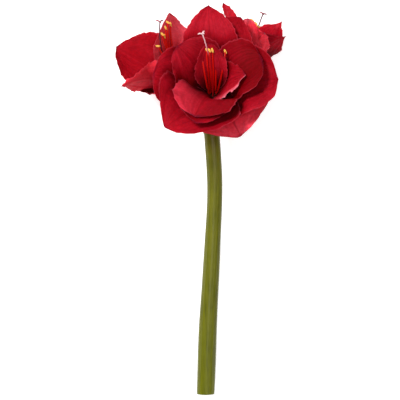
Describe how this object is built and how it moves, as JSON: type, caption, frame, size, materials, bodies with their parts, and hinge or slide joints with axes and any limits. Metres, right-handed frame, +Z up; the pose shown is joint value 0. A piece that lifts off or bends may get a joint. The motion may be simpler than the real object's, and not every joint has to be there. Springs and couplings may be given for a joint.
{
  "type": "amaryllis stem",
  "caption": "Cut flower: a long hollow green stem, lying on its back, with a head of large red many-petalled trumpet blooms on short stalks.",
  "frame": {"origin": "centre of the bounding box at the level of the surface that the stem lies on", "axes": "+Y runs along the stem from its cut end to the flower head, +X to the right as seen by an eye that looks down on the front bloom, +Z upwards"},
  "size_m": [0.225, 0.5046, 0.1726],
  "materials": {
    "scape": "smooth green flower stem, faintly ribbed along its length",
    "pedicel": "smooth light green flower stalk and ovary",
    "petal": "deep red velvety petal, darker in the throat",
    "pistil": "pink style, paler at the stigma"
  },
  "bodies": {
    "root": {"scape": "scape", "front_pedicel": "pedicel", "left_pedicel": "pedicel", "right_pedicel": "pedicel", "front_bloom": "petal", "left_bloom": "petal", "right_bloom": "petal", "front_pistil": "pistil", "left_pistil": "pistil", "right_pistil": "pistil"}
  },
  "joints": []
}
